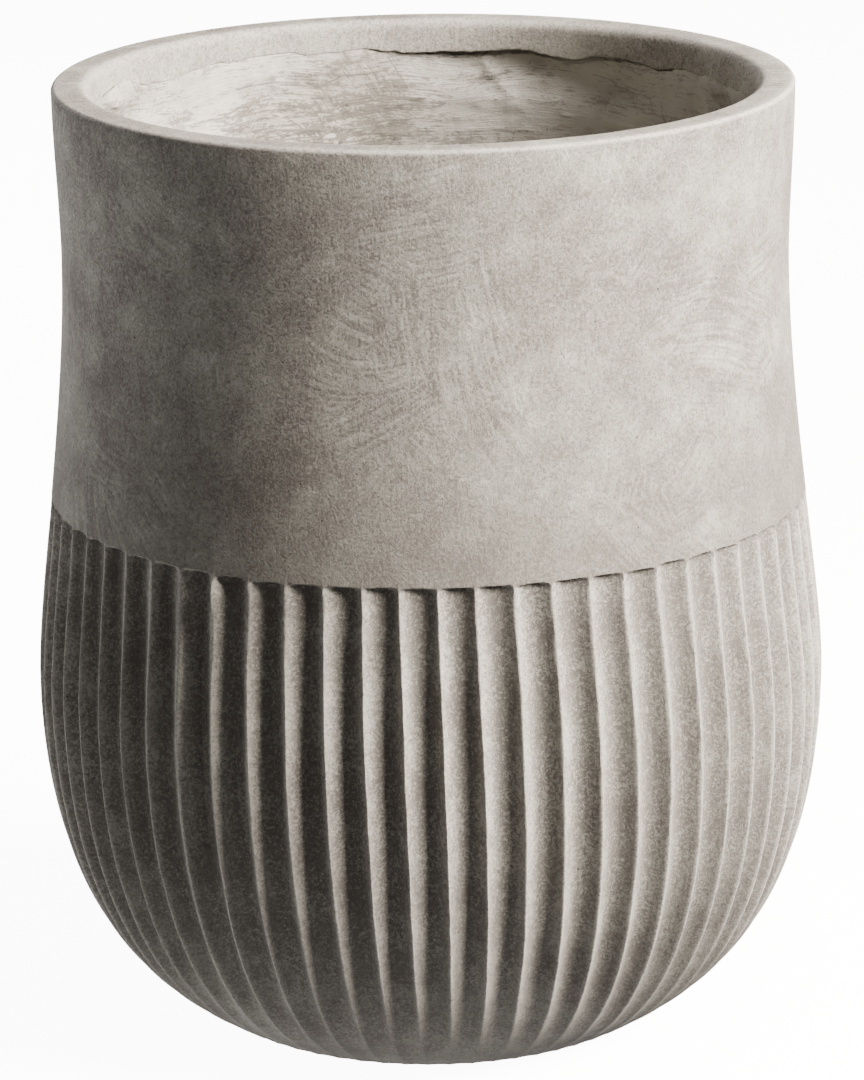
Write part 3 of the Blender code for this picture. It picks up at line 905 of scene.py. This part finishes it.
# %% [markdown]
# The plug is turned rubber: a knob to pull it by, a flange that seals on the floor and a stem in the
# hole. A Screw modifier turns its profile, and the profile adds what the plain solid leaves out, two
# soft ribs round the stem, which really hold such a plug. Its height and the width of its flange come
# from its node's box.

# %% The drain plug
plug_low, plug_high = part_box("drain_plug")
FLANGE_RADIUS = (plug_high.x - plug_low.x) / 2
STEM_RADIUS = 10.7 * MM
FLANGE_HEIGHT = 3.0 * MM
NECK_RADIUS = 3.5 * MM
KNOB_RADIUS = 5.5 * MM
KNOB_HEIGHT = 4.0 * MM
SOCKET_RADIUS = 6.0 * MM
SOCKET_DEPTH = 8.0 * MM
PLUG_RISE = 12 * MM
PLUG_SEAT = plug_high.z - PLUG_RISE


def turned(name, profile, steps, material):
    """A closed piece turned about the pot's axis from a profile of (radius, height) points."""
    mesh = bpy.data.meshes.new(name)
    edges = [(index, index + 1) for index in range(len(profile) - 1)]
    mesh.from_pydata([(radius, 0.0, height) for radius, height in profile], edges, [])
    blank = new_object(name + " profile", mesh)
    screw = blank.modifiers.new("turn", "SCREW")
    screw.steps = screw.render_steps = steps
    screw.use_merge_vertices = True
    screw.merge_threshold = 0.01 * MM
    solid = plain_mesh(blank)
    bm = bmesh.new()
    bm.from_mesh(solid)
    bmesh.ops.remove_doubles(bm, verts=bm.verts, dist=0.005 * MM)
    bmesh.ops.recalc_face_normals(bm, faces=bm.faces)
    bm.to_mesh(solid)
    bm.free()
    solid.materials.clear()
    solid.materials.append(material)
    return smooth_piece(name, solid)


def plug_profile():
    edge = 1.0 * MM
    knob_top = plug_high.z
    knob_bottom = knob_top - KNOB_HEIGHT
    flange_top = PLUG_SEAT + FLANGE_HEIGHT
    nose = plug_low.z
    profile = [(0.0, knob_top - 0.3 * MM), (KNOB_RADIUS * 0.4, knob_top)]
    knob_side = KNOB_RADIUS - edge
    profile += arc((knob_side, knob_top - edge), edge, 90, 0, 5)
    profile += arc((knob_side, knob_bottom + edge), edge, 0, -90, 5)
    profile += [(NECK_RADIUS, knob_bottom)] + arc((NECK_RADIUS + edge, flange_top + edge), edge, 180, 270, 5)
    profile += arc((FLANGE_RADIUS - edge, flange_top - edge), edge, 90, 0, 5)
    profile += [(FLANGE_RADIUS, PLUG_SEAT), (STEM_RADIUS, PLUG_SEAT)]
    for number in range(33):
        down = number / 32
        rib = 0.25 * MM * max(0.0, math.sin(down * 2 * math.tau - 0.6)) ** 2
        radius = STEM_RADIUS - 0.9 * MM * down - 0.25 * MM + rib
        profile.append((radius, PLUG_SEAT - 0.4 * MM - down * (PLUG_SEAT - nose - 1.6 * MM)))
    profile += [(STEM_RADIUS - 2.0 * MM, nose), (SOCKET_RADIUS + 0.5 * MM, nose)]
    profile += [(SOCKET_RADIUS, nose + 0.5 * MM)]
    profile += [(SOCKET_RADIUS, nose + SOCKET_DEPTH - edge), (SOCKET_RADIUS - edge, nose + SOCKET_DEPTH)]
    return profile + [(0.0, nose + SOCKET_DEPTH)]


ribbed_plug = turned("ribbed_plug", plug_profile(), 72, plug_rubber)
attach(ribbed_plug, "plug")
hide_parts("drain_plug")
report(ribbed_plug)

# %% [markdown]
# Four rubber pads under the foot ring keep the cement off the floor. They are all alike, so one is
# made and Geometry Nodes sets a copy at each point of a circle. The number of pads, their circle and
# the angle of the first are inputs. The last two are read from the box of the frame's first pad.

# %% The foot pads
pad_low, pad_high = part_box("foot_pad_1")
pad_middle = (pad_low + pad_high) / 2
PAD_RADIUS = (pad_high.x - pad_low.x) / 2
PAD_THICKNESS = pad_high.z - pad_low.z


def pad_blank():
    """One pad about its own middle: a disc with rounded edges and a slightly hollow face."""
    half = PAD_THICKNESS / 2
    edge = 0.6 * MM
    profile = [(0.0, half), (PAD_RADIUS - edge, half)]
    profile += arc((PAD_RADIUS - edge, half - edge), edge, 75, 0, 4)
    profile += arc((PAD_RADIUS - edge, edge - half), edge, 0, -90, 4)
    profile += [(PAD_RADIUS * 0.7, -half), (PAD_RADIUS * 0.55, 0.3 * MM - half), (0.0, 0.3 * MM - half)]
    return turned("pad blank", profile, 48, pad_rubber)


def pads_tree(material, pad):
    graph, given, settings = new_geometry_tree("set out the pads", {
        "Pads": 4,
        "Circle radius": pad_middle.xy.length,
        "First angle": math.atan2(pad_middle.y, pad_middle.x),
        "Pad": pad,
        "Material": material,
    })
    size = {"Vertices": given["Pads"], "Radius": given["Circle radius"]}
    circle = graph.out(graph.node("GeometryNodeMeshCircle", inputs=size))
    turn = graph.join(0.0, 0.0, given["First angle"])
    way = {"Geometry": circle, "Rotation": turn, "Translation": (0.0, 0.0, pad_middle.z)}
    points = graph.out(graph.node("GeometryNodeTransform", inputs=way))
    one = graph.out(graph.node("GeometryNodeObjectInfo", inputs={"Object": given["Pad"]}), "Geometry")
    copies = graph.node("GeometryNodeInstanceOnPoints", inputs={"Points": points, "Instance": one})
    end_tree(graph, graph.out(copies), given["Material"])
    return graph, settings


one_pad = pad_blank()
holder = new_object("pads holder", bpy.data.meshes.new("pads holder"))
foot_pads = carve(holder, *pads_tree(pad_rubber, one_pad), "foot_pads")
bpy.data.objects.remove(one_pad, do_unlink=True)
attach(foot_pads, "pot")
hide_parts("foot_pad_1", "foot_pad_2", "foot_pad_3", "foot_pad_4")
report(foot_pads)

# %% [markdown]
# The pot stands in a plain studio. One large soft light far round to the right does nearly all the work:
# it rakes across the flutes, so each shows a bright wall and a dark one. A weak light from behind on the
# left and a small card low down there draw the thin bright lines of the crests, and a weak panel overhead
# reaches the floor of the bowl. The world adds a little to every shadow, most from below and the left.
# The floor is pale and bright. A floor that bright would fill the flutes' dark walls with its own
# bounce, so it is left out of the light that falls on the pot.

# %% The studio
def make_floor():
    mesh = bpy.data.meshes.new("floor")
    mesh.from_pydata([(-6, -6, 0), (6, -6, 0), (6, 6, 0), (-6, 6, 0)], [], [(0, 1, 2, 3)])
    floor = new_object("studio_floor", mesh)
    floor.visible_diffuse = floor.visible_glossy = floor.visible_shadow = False
    material = bpy.data.materials.new("pale studio floor")
    material.use_nodes = True
    graph = Graph(material.node_tree)
    shader = material.node_tree.nodes["Principled BSDF"]
    place = graph.out(graph.node("ShaderNodeTexCoord"), "Object")
    shade = graph.ramp(graph.noise(place, 0.9), 0.3, 0.7)
    color = graph.mix(shade, (0.86, 0.86, 0.85, 1.0), (0.90, 0.90, 0.89, 1.0))
    glow = {"Emission Color": (1.0, 1.0, 1.0, 1.0), "Emission Strength": FLOOR_GLOW}
    for name, given in {"Base Color": color, "Roughness": 0.8, **glow}.items():
        graph.feed(shader.inputs[name], given)
    mesh.materials.append(material)


def area_light(name, azimuth, elevation, distance, width, height, power, color):
    """A soft panel that faces the pot. Azimuth 0 is the camera's side, and it grows to the right."""
    around = math.radians(azimuth - 90.0)
    up = math.radians(elevation)
    aim = Vector((0.0, 0.0, GROUND + POT_HEIGHT / 2))
    way = Vector((math.cos(around) * math.cos(up), math.sin(around) * math.cos(up), math.sin(up)))
    data = bpy.data.lights.new(name, "AREA")
    data.shape = "RECTANGLE"
    data.size = width
    data.size_y = height
    data.energy = power
    data.color = color
    lamp = new_object(name, data)
    lamp.location = aim + way * distance
    lamp.rotation_euler = way.to_track_quat("Z", "Y").to_euler()


def make_world(above, below, left):
    """Weak light from above, more from below, where a white floor would send it up, and from the left."""
    world = bpy.data.worlds.new("studio")
    bpy.context.scene.world = world
    world.use_nodes = True
    graph = Graph(world.node_tree)
    direction = graph.out(graph.node("ShaderNodeTexCoord"), "Generated")
    right, _, up = graph.split(direction)
    strength = graph.ramp(up, -0.5, 0.1, below, above) + graph.ramp(up, -1.0, -0.4, below * 9.0, 0.0)
    strength = strength + graph.ramp(right, -1.0, -0.5, left, 0.0)
    background = world.node_tree.nodes["Background"]
    background.inputs["Color"].default_value = (*SOFT_WHITE, 1.0)
    graph.feed(background.inputs["Strength"], strength)


FLOOR_GLOW = 11.0
KEY_COLOR = (1.0, 0.930, 0.840)
SOFT_WHITE = (1.0, 0.985, 0.96)
make_floor()
area_light("key", 69.0, 31.0, 2.2, 1.4, 0.9, 475.0, KEY_COLOR)
area_light("back left", -134.0, 4.0, 1.8, 2.0, 0.8, 31.0, SOFT_WHITE)
area_light("left card", -107.0, -36.0, 0.62, 0.5, 0.2, 2.0, SOFT_WHITE)
area_light("overhead", 0.0, 90.0, 3.0, 0.8, 0.8, 36.0, SOFT_WHITE)
make_world(0.008, 0.20, 0.15)

# %% [markdown]
# The camera stands where the picture was taken from: in front, a little above the rim's height, far
# enough back for a long lens. It is rolled by less than a degree, as a hand-set camera often is. The
# tiny shift moves the picture on the film without turning the camera.

# %% The camera
LENS = 162.6
SIDE_SHIFT = 0.0027
EYE = Vector((0.0, -1.799, GROUND + 0.697))
AIM = Vector((0.0, 0.0, GROUND + 0.180))
ROLL = math.radians(-0.775)


def make_camera():
    data = bpy.data.cameras.new("camera")
    data.sensor_width = 36.0
    data.lens = LENS
    data.shift_x = SIDE_SHIFT
    camera = new_object("camera", data)
    turn = (AIM - EYE).to_track_quat("-Z", "Y").to_matrix().to_4x4()
    camera.matrix_world = Matrix.Translation(EYE) @ turn @ Matrix.Rotation(ROLL, 4, "Z")
    bpy.context.scene.camera = camera
    print("the camera is", round((AIM - EYE).length, 3), "m from the pot's middle")


make_camera()
